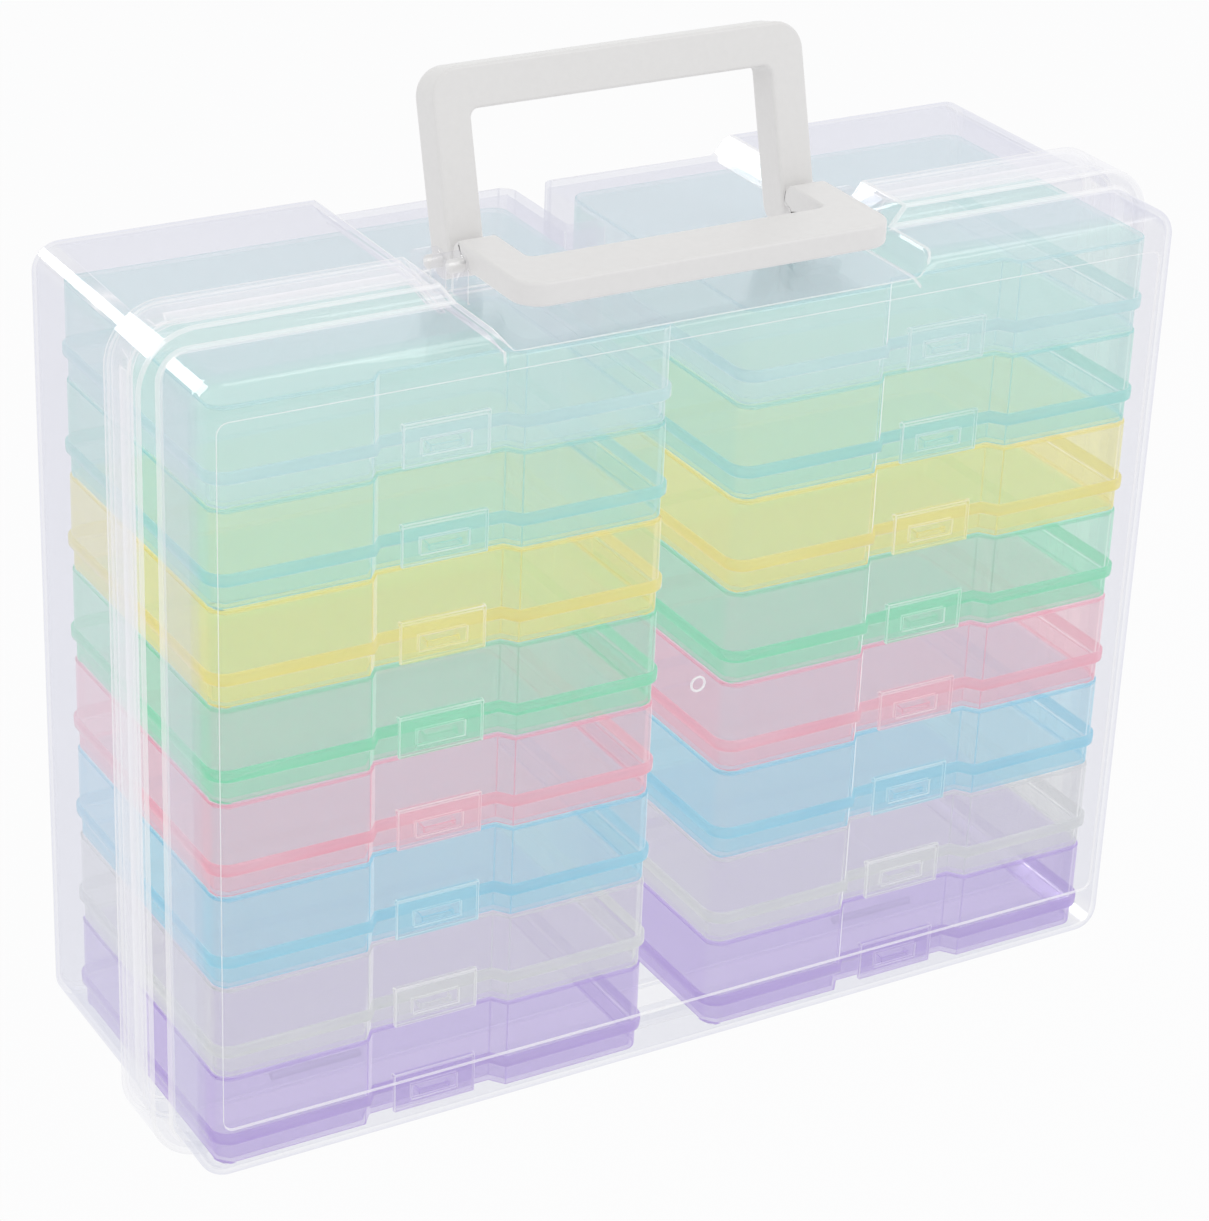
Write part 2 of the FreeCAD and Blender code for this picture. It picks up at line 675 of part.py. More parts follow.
make_back_shell()
make_front_shell()
make_rear_handle()
make_front_handle()
for side, share in zip(COLUMNS, COLUMN_SIDE_SHARES):
    make_pin(side, share)
stack_low = cavity_low + S["case_gap"]
case_middle = front_face + wall + S["case_front_gap"] + S["case_depth"] / 2
for side, share in zip(COLUMNS, COLUMN_SIDE_SHARES):
    for row in range(ROWS):
        height = stack_low + S["case_pitch"] * (ROWS - 1 - row)
        for make, piece in ((make_cover, "cover"), (make_tray, "base"), (make_latch, "latch")):
            body = make(f"case_{side}_{row + 1}_{piece}")
            place(body, x=(cell_start + cell_end) / 2 * share, y=case_middle, z=height)


def check(objects):
    for item in objects:
        faults = {"Invalid", "Error"} & set(item.State)
        if faults:
            raise RuntimeError(f"{item.Label} is {faults}")


doc.recompute()
check(doc.Objects)
os.makedirs("parts", exist_ok=True)
for item in doc.Objects:
    if item.isDerivedFrom("PartDesign::Body"):
        shape = item.Shape
        if shape.isNull() or not shape.isValid():
            raise RuntimeError(f"{item.Label} has no sound shape")
        shape.exportStep(f"parts/{item.Label}.step")
        print(item.Label, len(shape.Solids), round(shape.Volume / 1000, 1))
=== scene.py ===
import json
import math

import bmesh
import bpy
from mathutils import Matrix, Vector

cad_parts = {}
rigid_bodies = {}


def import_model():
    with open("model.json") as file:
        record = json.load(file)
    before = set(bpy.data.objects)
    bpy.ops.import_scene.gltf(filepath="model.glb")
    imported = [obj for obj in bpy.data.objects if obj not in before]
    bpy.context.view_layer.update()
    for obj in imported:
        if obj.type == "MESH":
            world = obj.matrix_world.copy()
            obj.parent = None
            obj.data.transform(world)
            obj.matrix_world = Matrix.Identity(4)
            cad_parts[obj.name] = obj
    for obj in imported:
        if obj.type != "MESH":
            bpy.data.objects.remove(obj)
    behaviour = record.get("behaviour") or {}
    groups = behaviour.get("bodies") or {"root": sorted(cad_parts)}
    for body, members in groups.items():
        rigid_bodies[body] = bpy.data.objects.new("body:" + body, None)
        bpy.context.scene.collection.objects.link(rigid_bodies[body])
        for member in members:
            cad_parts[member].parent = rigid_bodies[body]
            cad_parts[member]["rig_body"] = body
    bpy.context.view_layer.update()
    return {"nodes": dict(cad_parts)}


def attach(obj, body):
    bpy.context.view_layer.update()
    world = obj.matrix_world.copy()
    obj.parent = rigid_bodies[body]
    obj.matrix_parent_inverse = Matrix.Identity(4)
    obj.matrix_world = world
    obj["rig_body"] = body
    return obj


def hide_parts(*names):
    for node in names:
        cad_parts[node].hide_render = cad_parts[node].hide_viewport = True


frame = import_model()

# The camera stands in front and to the left, looks down on the case and is tilted slightly,
# as in the photograph. Its place, tilt and focal length were fitted to the body's corners.
PHOTO_HEIGHT_PX = 1221
FOCAL_PX = 3639
SENSOR_MM = 36.0
NEAREST_SEEN = 0.01
FARTHEST_SEEN = 50.0
CAMERA_AZIMUTH = math.radians(-30.93)
CAMERA_ELEVATION = math.radians(26.45)
CAMERA_ROLL = math.radians(2.40)
CAMERA_DISTANCE = 1.27535
CAMERA_TARGET = Vector((0.0, 0.0, 0.15142))

lens = bpy.data.cameras.new("photo_camera")
lens.sensor_width = SENSOR_MM
lens.lens = FOCAL_PX * SENSOR_MM / PHOTO_HEIGHT_PX
lens.clip_start = NEAREST_SEEN
lens.clip_end = FARTHEST_SEEN
camera = bpy.data.objects.new("photo_camera", lens)
bpy.context.scene.collection.objects.link(camera)
level = math.cos(CAMERA_ELEVATION)
backward = Vector((math.sin(CAMERA_AZIMUTH) * level, -math.cos(CAMERA_AZIMUTH) * level,
                   math.sin(CAMERA_ELEVATION)))
rightward = Vector((math.cos(CAMERA_AZIMUTH), math.sin(CAMERA_AZIMUTH), 0.0))
upward = backward.cross(rightward)
turned_right = rightward * math.cos(CAMERA_ROLL) + upward * math.sin(CAMERA_ROLL)
turned_up = upward * math.cos(CAMERA_ROLL) - rightward * math.sin(CAMERA_ROLL)
stand = CAMERA_TARGET + backward * CAMERA_DISTANCE
camera.matrix_world = Matrix((
    (turned_right.x, turned_up.x, backward.x, stand.x),
    (turned_right.y, turned_up.y, backward.y, stand.y),
    (turned_right.z, turned_up.z, backward.z, stand.z),
    (0.0, 0.0, 0.0, 1.0)))
bpy.context.scene.camera = camera
bpy.context.scene.view_settings.view_transform = "Standard"


# The studio: a white paper sweep for a floor, an even pale room, two soft lamps and two that only
# give the clear shells their edge glints. Camera, mirror and see-through rays find the room pure
# white, so the white comes from the room's colour and not from more light on the object.
def linear(hex_colour, alpha=1.0):
    """An sRGB hex colour as the linear colour that the nodes take."""
    values = [int(hex_colour[place:place + 2], 16) / 255 for place in (1, 3, 5)]
    curve = [v / 12.92 if v <= 0.04045 else ((v + 0.055) / 1.055) ** 2.4 for v in values]
    return (*curve, alpha)


def add_node(tree, kind, inputs=None, **settings):
    """Adds a node. Inputs name its sockets, each given a value or the socket to link from."""
    node = tree.nodes.new(kind)
    for name, value in settings.items():
        setattr(node, name, value)
    for name, value in (inputs or {}).items():
        if isinstance(value, bpy.types.NodeSocket):
            tree.links.new(value, node.inputs[name])
        else:
            node.inputs[name].default_value = value
    return node


def seen_directly(tree):
    """Is 1 for the rays of the camera, of reflections and of clear plastic, else 0."""
    path = add_node(tree, "ShaderNodeLightPath")
    mirrored = add_node(tree, "ShaderNodeMath", {
        0: path.outputs["Is Camera Ray"], 1: path.outputs["Is Glossy Ray"]}, operation="MAXIMUM")
    return add_node(tree, "ShaderNodeMath", {
        0: mirrored.outputs[0], 1: path.outputs["Is Transmission Ray"]},
        operation="MAXIMUM").outputs[0]


ROOM_LIGHT = "#F1F1F1"
ROOM_SEEN = "#FFFFFF"
world = bpy.data.worlds.new("white_studio")
bpy.context.scene.world = world
world.use_nodes = True
world.node_tree.nodes.clear()
room = add_node(world.node_tree, "ShaderNodeMix", {
    "Factor": seen_directly(world.node_tree),
    6: linear(ROOM_LIGHT), 7: linear(ROOM_SEEN)}, data_type="RGBA")
room_light = add_node(world.node_tree, "ShaderNodeBackground", {"Color": room.outputs[2]})
add_node(world.node_tree, "ShaderNodeOutputWorld", {"Surface": room_light.outputs[0]})

# Matt coated paper: no gloss and a soft shadow. Most of it lets the white room show through for
# the camera, so the floor has no horizon and an opened shell stays in view below it.
FLOOR_REACH = 8.0
ROOM_THROUGH_PAPER = 0.85
sweep_mesh = bpy.data.meshes.new("studio_floor")
sweep_mesh.from_pydata([(-FLOOR_REACH, -FLOOR_REACH, 0), (FLOOR_REACH, -FLOOR_REACH, 0),
                        (FLOOR_REACH, FLOOR_REACH, 0), (-FLOOR_REACH, FLOOR_REACH, 0)],
                       [], [(0, 1, 2, 3)])
studio_floor = bpy.data.objects.new("studio_floor", sweep_mesh)
bpy.context.scene.collection.objects.link(studio_floor)
sweep_paper = bpy.data.materials.new("white paper, coated matt")
sweep_paper.use_nodes = True
tree = sweep_paper.node_tree
tree.nodes.clear()
paper = add_node(tree, "ShaderNodeBsdfDiffuse", {"Color": linear("#F4F4F6")})
beyond = add_node(tree, "ShaderNodeBsdfTransparent", {"Color": linear("#FFFFFF")})
share = add_node(tree, "ShaderNodeMath", {
    0: seen_directly(tree), 1: ROOM_THROUGH_PAPER}, operation="MULTIPLY")
mixed = add_node(tree, "ShaderNodeMixShader", {
    0: share.outputs[0], 1: paper.outputs[0], 2: beyond.outputs[0]})
add_node(tree, "ShaderNodeOutputMaterial", {"Surface": mixed.outputs[0]})
sweep_mesh.materials.append(sweep_paper)

glinting_pieces = bpy.data.collections.new("glinting_pieces")


def soft_lamp(name, place, aim, width, power, only_glints=False):
    """A square lamp. One for glints alone shows in the shells' gloss and lights nothing else."""
    lamp = bpy.data.lights.new(name, "AREA")
    lamp.shape = "SQUARE"
    lamp.size = width
    lamp.energy = power
    holder = bpy.data.objects.new(name, lamp)
    bpy.context.scene.collection.objects.link(holder)
    holder.location = place
    holder.rotation_euler = (Vector(aim) - Vector(place)).to_track_quat("-Z", "Y").to_euler()
    holder.visible_camera = False
    if only_glints:
        holder.visible_diffuse = False
        holder.light_linking.receiver_collection = glinting_pieces


CASE_MIDDLE = (0, 0, 0.15)
CASE_TOP = (0, 0, 0.3)
FRONT_RIGHT = (1.05, -1.1, 1.9)
soft_lamp("left_softbox", (-1.4, -1.1, 1.6), CASE_MIDDLE, width=0.9, power=1)
soft_lamp("right_softbox", FRONT_RIGHT, CASE_MIDDLE, width=0.9, power=4)
soft_lamp("front_edge_glint", FRONT_RIGHT, CASE_MIDDLE, width=0.9, power=18, only_glints=True)
soft_lamp("side_edge_glint", (-1.08, 1.54, 1.32), CASE_TOP, width=1.2, power=34,
          only_glints=True)


# Both shells are injection-moulded clear polystyrene with a faint cold tint, 2 mm thick. Such
# walls pass light straight through and whiten where they are seen at a slant. Their rounded edges
# and the step round the front panel are coloured nearly white, as a painted highlight.
# A line of sight passes many clear walls, far more than are let through unless this is raised.
LAYERS_SEEN_THROUGH = 160
bpy.context.scene.cycles.transparent_max_bounces = LAYERS_SEEN_THROUGH


# Melt that flows into a mould leaves broad, faint waves about 26 mm apart. They give the gloss
# a slow change and bend its glints. A wall whitens towards its edges, where more of it is seen.
WAVES_APART_MM = 26.316
WAVE_DEPTH = 0.001
UNEVEN_GLOSS = 0.3
GLOSS_HEAD_ON = 0.04
GLOSS_GRAZING = 0.9
GRAZING_POWER = 5.0


def moulded(name, passed, passed_at_edges, milk_colours, milk_share, slant_power,
            roughness, ripple):
    """Thin clear plastic: a tint for the light that passes and a milky share, both by how
    slanted the wall is seen. Light on its way to other pieces passes with the plain tint."""
    material = bpy.data.materials.new(name)
    material.use_nodes = True
    tree = material.node_tree
    tree.nodes.clear()
    place = add_node(tree, "ShaderNodeTexCoord")
    flow = add_node(tree, "ShaderNodeTexNoise", {
        "Vector": place.outputs["Object"], "Scale": 1000 / WAVES_APART_MM, "Detail": 0.0})
    waves = add_node(tree, "ShaderNodeBump", {
        "Height": flow.outputs["Fac"], "Strength": ripple, "Distance": WAVE_DEPTH})
    matt = add_node(tree, "ShaderNodeMapRange", {
        "Value": flow.outputs["Fac"], "To Min": roughness * (1 - UNEVEN_GLOSS),
        "To Max": roughness * (1 + UNEVEN_GLOSS)})
    slant = add_node(tree, "ShaderNodeLayerWeight", {"Blend": 0.5})
    edge_on = add_node(tree, "ShaderNodeMath", {
        0: slant.outputs["Facing"], 1: slant_power}, operation="POWER")
    tint = add_node(tree, "ShaderNodeMix", {
        "Factor": edge_on.outputs[0], 6: linear(passed), 7: linear(passed_at_edges)},
        data_type="RGBA")
    through = add_node(tree, "ShaderNodeBsdfTransparent", {"Color": tint.outputs[2]})
    shade = add_node(tree, "ShaderNodeMix", {
        "Factor": flow.outputs["Fac"], 6: linear(milk_colours[0]), 7: linear(milk_colours[1])},
        data_type="RGBA")
    scattered = add_node(tree, "ShaderNodeBsdfDiffuse", {"Color": shade.outputs[2]})
    milkiness = add_node(tree, "ShaderNodeMapRange", {
        "Value": edge_on.outputs[0], "To Min": milk_share[0], "To Max": milk_share[1]})
    wall = add_node(tree, "ShaderNodeMixShader", {
        0: milkiness.outputs[0], 1: through.outputs[0], 2: scattered.outputs[0]})
    grazing = add_node(tree, "ShaderNodeMath", {
        0: slant.outputs["Facing"], 1: GRAZING_POWER}, operation="POWER")
    mirrored = add_node(tree, "ShaderNodeMapRange", {
        "Value": grazing.outputs[0], "To Min": GLOSS_HEAD_ON, "To Max": GLOSS_GRAZING})
    gloss = add_node(tree, "ShaderNodeBsdfGlossy", {
        "Color": linear("#FFFFFF"), "Roughness": matt.outputs[0], "Normal": waves.outputs[0]})
    skin = add_node(tree, "ShaderNodeMixShader", {
        0: mirrored.outputs[0], 1: wall.outputs[0], 2: gloss.outputs[0]})
    lets_light_in = add_node(tree, "ShaderNodeBsdfTransparent", {"Color": linear(passed)})
    path = add_node(tree, "ShaderNodeLightPath")
    seen_or_lit = add_node(tree, "ShaderNodeMixShader", {
        0: path.outputs["Is Shadow Ray"], 1: skin.outputs[0], 2: lets_light_in.outputs[0]})
    add_node(tree, "ShaderNodeOutputMaterial", {"Surface": seen_or_lit.outputs[0]})
    return material


SAME_PLACE = 1e-6
SAME_LEVEL = 5e-5
FLAT_WITHIN = math.radians(0.5)


def at_height(level):
    """Picks the edges that lie level at a height."""
    return lambda edge: all(abs(corner.co.z - level) < SAME_LEVEL for corner in edge.verts)


def at_depth(level):
    """Picks the edges that lie in an upright plane at a depth."""
    return lambda edge: all(abs(corner.co.y - level) < SAME_LEVEL for corner in edge.verts)


def applied(piece):
    """Turns a piece's modifiers into a plain mesh and removes them."""
    graph = bpy.context.evaluated_depsgraph_get()
    before = piece.data
    piece.data = bpy.data.meshes.new_from_object(piece.evaluated_get(graph))
    piece.modifiers.clear()
    bpy.data.meshes.remove(before)
    return piece.data


def dress(node_name, materials, broken, rounds=(), paint=None, reshape=None,
          crisp_angle=math.radians(32), steps=3):
    """A finer copy of a CAD node, reshaped if asked. Its outward edges are broken, and those
    that rounds picks, as pairs of a test and a radius, are rounded. The new faces take the
    last material, the others the first one or the one that paint numbers. Hollow outlines are
    split first, so that a broad face doesn't fold over itself once its edges are rounded."""
    node = frame["nodes"][node_name]
    form = bmesh.new()
    form.from_mesh(node.data)
    bmesh.ops.remove_doubles(form, verts=form.verts, dist=SAME_PLACE)
    bmesh.ops.dissolve_limit(form, angle_limit=FLAT_WITHIN, verts=form.verts, edges=form.edges)
    if reshape:
        for corner in form.verts:
            corner.co = reshape(corner.co)
        form.normal_update()
    bmesh.ops.connect_verts_concave(form, faces=form.faces)
    widest = max([broken] + [radius for picked, radius in rounds])
    weight = form.edges.layers.float.new("bevel_weight_edge")
    for edge in form.edges:
        if len(edge.link_faces) != 2 or edge.calc_face_angle() < crisp_angle:
            continue
        radii = [radius for picked, radius in rounds if picked(edge)]
        if radii or edge.is_convex:
            edge[weight] = (radii[0] if radii else broken) / widest
    for face in form.faces:
        face.material_index = paint(face) if paint else 0
    mesh = bpy.data.meshes.new(node_name + "_piece")
    form.to_mesh(mesh)
    form.free()
    for material in materials:
        mesh.materials.append(material)
    piece = bpy.data.objects.new(node_name + "_piece", mesh)
    bpy.context.scene.collection.objects.link(piece)
    rounding = piece.modifiers.new("rounding", "BEVEL")
    rounding.width = widest
    rounding.segments = steps
    rounding.limit_method = "WEIGHT"
    rounding.use_clamp_overlap = False
    rounding.material = len(materials) - 1
    finished = applied(piece)
    low, high = ([pick(corner[axis] for corner in node.bound_box) for axis in range(3)]
                 for pick in (min, max))
    for corner in finished.vertices:
        corner.co = [min(max(corner.co[axis], low[axis]), high[axis]) for axis in range(3)]
    finished.shade_smooth()
    finished.set_sharp_from_angle(angle=crisp_angle)
    piece.modifiers.new("flat_faces_first", "WEIGHTED_NORMAL").keep_sharp = True
    applied(piece)
    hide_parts(node_name)
    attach(piece, node["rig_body"])
    return piece


# Where the shells' faces and edges lie, from back to front.
BACK_FACE = 0.066
CHAMFER_END = 0.0636
BELT_FRONT = -0.039
PANEL = -0.0651
FRONT_FACE = -0.066
# The ears stand between these sides of the channel, the knuckles about this place on each side.
EAR_START = 0.0695
EAR_END = 0.0795
EAR_FOOT = 0.2895
HINGE_PLACE = 0.110
HINGE_REACH = 0.026
HINGE_TOP = 0.010
# The belt stands outside the body, and the groove in the back opens into the channel.
BODY_SIDE = 0.1845
BODY_TOP = 0.2955
BODY_FOOT = 0.0065
GROOVE_MOUTH = 0.011
GROOVE_START = 0.02
CHANNEL_FLOOR = 0.28
SHELL_BROKEN = 0.0006
BACK_ROUND = 0.001
BELT_ROUND = 0.0012
PANEL_ROUND = 0.0002
FRONT_ROUND = 0.0003
AS_IT_IS = 0.0
# Polystyrene is glass clear with a high polish, so it hardly shows but for white edges. The belt
# and the ears are thicker and show whiter. The rounded edges are coloured a nearly white milk,
# which is a painted highlight for the glints along them.
clear_shell = moulded(
    "clear polystyrene, moulded", "#FDFDFD", "#E8E9F4", ("#E6E7F1", "#E0E1EC"),
    milk_share=(0.01, 0.3), slant_power=2.0, roughness=0.05, ripple=0.03)
clear_belt = moulded(
    "clear polystyrene, belt", "#FEFEFE", "#F6F6FB", ("#FFFFFF", "#FBFBFE"),
    milk_share=(0.04, 0.3), slant_power=2.0, roughness=0.05, ripple=0.03)
clear_ears = moulded(
    "clear polystyrene, thick ears", "#FEFEFE", "#F6F6FA", ("#F4F4F8", "#F0F0F6"),
    milk_share=(0.02, 0.12), slant_power=2.0, roughness=0.05, ripple=0.03)
# A painted highlight: the rounded edges, the step round the front panel and the gate ring are
# coloured nearly white.
painted_edge_highlight = moulded(
    "clear polystyrene, rounded edge, painted highlight", "#FFFFFF", "#FAFAFE", ("#FFFFFF", "#FCFCFF"),
    milk_share=(0.5, 0.85), slant_power=2.0, roughness=0.04, ripple=0.03)


def in_ears(edge):
    """Picks the edges of the ears beside the channel."""
    return all(EAR_START < abs(corner.co.x) < EAR_END and corner.co.z > EAR_FOOT
               for corner in edge.verts)


def near_hinge(edge):
    """Picks the edges of the knuckles and their webs, which stay as they are."""
    return all(corner.co.z < HINGE_TOP and abs(abs(corner.co.x) - HINGE_PLACE) < HINGE_REACH
               for corner in edge.verts)


def at_groove_mouth(edge):
    """Picks the short edges where the groove in the back meets the channel's floor."""
    return all(abs(corner.co.x) < GROOVE_MOUTH and corner.co.y > GROOVE_START
               and corner.co.z > CHANNEL_FLOOR for corner in edge.verts)


def shell_paint(face):
    """Numbers a shell's faces: the ears 1, the belt 2, the step round the front panel 3, which
    takes the painted highlight of the rounded edges.
    """
    if all(in_ears(edge) for edge in face.edges):
        return 1
    if all(abs(corner.co.x) > BODY_SIDE or corner.co.z > BODY_TOP or corner.co.z < BODY_FOOT
           for corner in face.verts):
        return 2
    depth = face.calc_center_median().y
    return 3 if FRONT_FACE < depth < PANEL and abs(face.normal.y) < 0.5 else 0


shell_plastics = (clear_shell, clear_ears, clear_belt, painted_edge_highlight)
back_shell = dress("back_shell", shell_plastics, SHELL_BROKEN, (
    (in_ears, AS_IT_IS), (near_hinge, AS_IT_IS), (at_groove_mouth, AS_IT_IS),
    (at_depth(BACK_FACE), BACK_ROUND), (at_depth(CHAMFER_END), BACK_ROUND)), shell_paint)
front_shell = dress("front_shell", shell_plastics, SHELL_BROKEN, (
    (in_ears, AS_IT_IS), (near_hinge, AS_IT_IS), (at_depth(BELT_FRONT), BELT_ROUND),
    (at_depth(PANEL), PANEL_ROUND), (at_depth(FRONT_FACE), FRONT_ROUND)), shell_paint)
for shell in (back_shell, front_shell):
    glinting_pieces.objects.link(shell)
    shell.visible_diffuse = False
    shell.visible_glossy = False

# The gate, where the melt entered the mould, leaves a small raised ring of the same clear
# polystyrene on the front panel. It's drawn as a torus half sunk into the panel, in the nearly
# white of the painted highlight on the shells' edges.
GATE_PLACE = (-0.0012, 0.1534)
GATE_RADIUS = 0.0026
GATE_THICKNESS = 0.0004
GATE_TURNS = 40
GATE_AROUND = 12
ring = bmesh.new()
loops = []
for turn in range(GATE_TURNS):
    angle = 2 * math.pi * turn / GATE_TURNS
    loop = []
    for step in range(GATE_AROUND):
        bend = 2 * math.pi * step / GATE_AROUND
        reach = GATE_RADIUS + GATE_THICKNESS * math.cos(bend)
        loop.append(ring.verts.new((GATE_PLACE[0] + reach * math.cos(angle),
                                    PANEL - GATE_THICKNESS * math.sin(bend),
                                    GATE_PLACE[1] + reach * math.sin(angle))))
    loops.append(loop)
for turn in range(GATE_TURNS):
    here, there = loops[turn], loops[(turn + 1) % GATE_TURNS]
    for step in range(GATE_AROUND):
        after = (step + 1) % GATE_AROUND
        ring.faces.new((here[step], there[step], there[after], here[after]))
bmesh.ops.recalc_face_normals(ring, faces=ring.faces)
gate_mesh = bpy.data.meshes.new("gate_mark")
ring.to_mesh(gate_mesh)
ring.free()
gate_mesh.materials.append(painted_edge_highlight)
gate_mesh.shade_smooth()
gate_mark = bpy.data.objects.new("gate_mark", gate_mesh)
bpy.context.scene.collection.objects.link(gate_mark)
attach(gate_mark, "front_shell")

# The sixteen inner cases are moulded in tinted clear polypropylene, two of each tint. A cover
# has a rounded top and a thick band along its rim, a tray has a rounded bottom, and the latch
# hangs in front of the set-back middle.
CASE_WALL = 0.0013
CASE_BROKEN = 0.0003
TOP_ROUND = 0.0006
TOP_FILLET = 0.0004
BOTTOM_ROUND = 0.0008
BOTTOM_FILLET = 0.0007
LATCH_BROKEN = 0.0004
BAND_HEIGHT = 0.0044
BAND_OUT = 0.0012
BAND_SUNK = 0.0003
BAND_ROUND = 0.0005
BAND_CRISP = math.radians(50)
# A case's corners are rounder in plan in the CAD than they are here. Their centres lie at this
# place from the case's middle.
CORNER_RADIUS = 0.016
SEEN_RADIUS = 0.0075
CORNER_PLACE = (0.0668, 0.045)
AT_CORNER = 1e-5
UPRIGHT = 0.1


def rim_outline(node):
    """The outer outline of a cover's lower edge, as points in order, counter-clockwise."""
    form = bmesh.new()
    form.from_mesh(node.data)
    bmesh.ops.remove_doubles(form, verts=form.verts, dist=SAME_PLACE)
    low = min(corner.co.z for corner in form.verts)
    centre = sum((Vector(corner) for corner in node.bound_box), Vector()) / 8
    following = {}
    for edge in form.edges:
        if not at_height(low)(edge):
            continue
        middle = (edge.verts[0].co + edge.verts[1].co) / 2 - centre
        for face in edge.link_faces:
            if abs(face.normal.z) < UPRIGHT and face.normal.dot(middle) > 0:
                ahead = Vector((0, 0, 1)).cross(face.normal)
                run = edge.verts[1].co - edge.verts[0].co
                first, second = edge.verts if run.dot(ahead) > 0 else reversed(edge.verts)
                following[first.index] = second.index
    places = {corner.index: corner.co.copy() for corner in form.verts}
    form.free()
    start = min(following)
    order = [start]
    while following[order[-1]] != start:
        order.append(following[order[-1]])
    return [places[index] for index in order]


# The band follows the outline: a rectangle with softened corners is swept along it.
band = bpy.data.node_groups.new("band_along_outline", "GeometryNodeTree")
band.is_modifier = True
band.interface.new_socket("Geometry", in_out="INPUT", socket_type="NodeSocketGeometry")
band_inputs = {}
for label, kind in (("Height", "NodeSocketFloat"), ("Thickness", "NodeSocketFloat"),
                    ("Outward", "NodeSocketFloat"), ("Drop", "NodeSocketFloat"),
                    ("Edge Radius", "NodeSocketFloat"), ("Material", "NodeSocketMaterial")):
    band_inputs[label] = band.interface.new_socket(label, in_out="INPUT", socket_type=kind)
band.interface.new_socket("Geometry", in_out="OUTPUT", socket_type="NodeSocketGeometry")
given = add_node(band, "NodeGroupInput")
path = add_node(band, "GeometryNodeMeshToCurve", {"Mesh": given.outputs["Geometry"]})
upright = add_node(band, "GeometryNodeSetCurveNormal", {"Curve": path.outputs[0]}, mode="Z_UP")
profile = add_node(band, "GeometryNodeCurvePrimitiveQuadrilateral", {
    "Width": given.outputs["Thickness"], "Height": given.outputs["Height"]})
softened = add_node(band, "GeometryNodeFilletCurve", {
    "Curve": profile.outputs[0], "Radius": given.outputs["Edge Radius"]}, mode="BEZIER")
shift = add_node(band, "ShaderNodeCombineXYZ", {
    "X": given.outputs["Outward"], "Y": given.outputs["Drop"]})
shifted = add_node(band, "GeometryNodeTransform", {
    "Geometry": softened.outputs[0], "Translation": shift.outputs[0]})
swept = add_node(band, "GeometryNodeCurveToMesh", {
    "Curve": upright.outputs[0], "Profile Curve": shifted.outputs[0]})
whole = add_node(band, "GeometryNodeRealizeInstances", {"Geometry": swept.outputs[0]})
coloured = add_node(band, "GeometryNodeSetMaterial", {
    "Geometry": whole.outputs[0], "Material": given.outputs["Material"]})
add_node(band, "NodeGroupOutput", {"Geometry": coloured.outputs[0]})


def tightened(node):
    """Moves what lies in a case's plan corners out to the smaller radius that shows."""
    middle = sum((Vector(corner) for corner in node.bound_box), Vector()) / 8
    shift = CORNER_RADIUS - SEEN_RADIUS

    def moved(place):
        aside = [place[axis] - middle[axis] for axis in (0, 1)]
        out = [abs(aside[axis]) - CORNER_PLACE[axis] for axis in (0, 1)]
        if min(out) < -AT_CORNER:
            return place
        reach = math.hypot(*out)
        drawn_in = max(reach - shift, 0.0) / reach if reach else 0.0
        fresh = [CORNER_PLACE[axis] + shift + out[axis] * drawn_in for axis in (0, 1)]
        return Vector((*(middle[axis] + math.copysign(fresh[axis], aside[axis])
                         for axis in (0, 1)), place[2]))
    return moved


def band_round(cover_name, name, material):
    """Sweeps the rim band round a cover."""
    cover = frame["nodes"][cover_name]
    outline = [tightened(cover)(place) for place in rim_outline(cover)]
    mesh = bpy.data.meshes.new(name)
    count = len(outline)
    mesh.from_pydata(outline, [(index, (index + 1) % count) for index in range(count)], [])
    piece = bpy.data.objects.new(name, mesh)
    bpy.context.scene.collection.objects.link(piece)
    sweep = piece.modifiers.new("band", "NODES")
    sweep.node_group = band
    for label, value in (("Height", BAND_HEIGHT), ("Thickness", BAND_OUT + BAND_SUNK),
                         ("Outward", (BAND_OUT - BAND_SUNK) / 2), ("Drop", -BAND_HEIGHT / 2),
                         ("Edge Radius", BAND_ROUND), ("Material", material)):
        sweep[band_inputs[label].identifier] = value
    applied(piece)
    piece.data.shade_smooth()
    piece.data.set_sharp_from_angle(angle=BAND_CRISP)
    return piece


# Each tint from the top row down: its name, the colour that passes a wall, the colour that
# passes it at a slant, the colour of its milkiness and that of its thick parts. Polypropylene
# is a little milky, with a soft sheen, and its colour gathers in thick rims and at edges.
TINTS = (
    ("ice", "#FBFDFC", "#D8F0F2", "#C8ECEA", "#B4E2E8"),
    ("aqua", "#FAFDFC", "#B4ECDE", "#A4E6D8", "#84DAD8"),
    ("yellow", "#FDFDF3", "#F8F0A0", "#F2EA80", "#F2E058"),
    ("mint", "#FAFDFB", "#98ECCC", "#7CE6B8", "#56DCA4"),
    ("pink", "#FDFAFA", "#F8BCD0", "#F6B8C8", "#F694AE"),
    ("sky", "#F9FBFC", "#A4E0F8", "#90DCEE", "#6CCAEC"),
    ("clear", "#FBFBFB", "#E8EAEB", "#E0E2E4", "#D2D6D8"),
    ("lavender", "#F5F3FA", "#CDB4F2", "#BEA6E6", "#AC8CE0"))


def tray_paint(face):
    """Numbers a tray's faces: its sides 1, its floor 0."""
    return int(abs(face.normal.z) < 0.5)


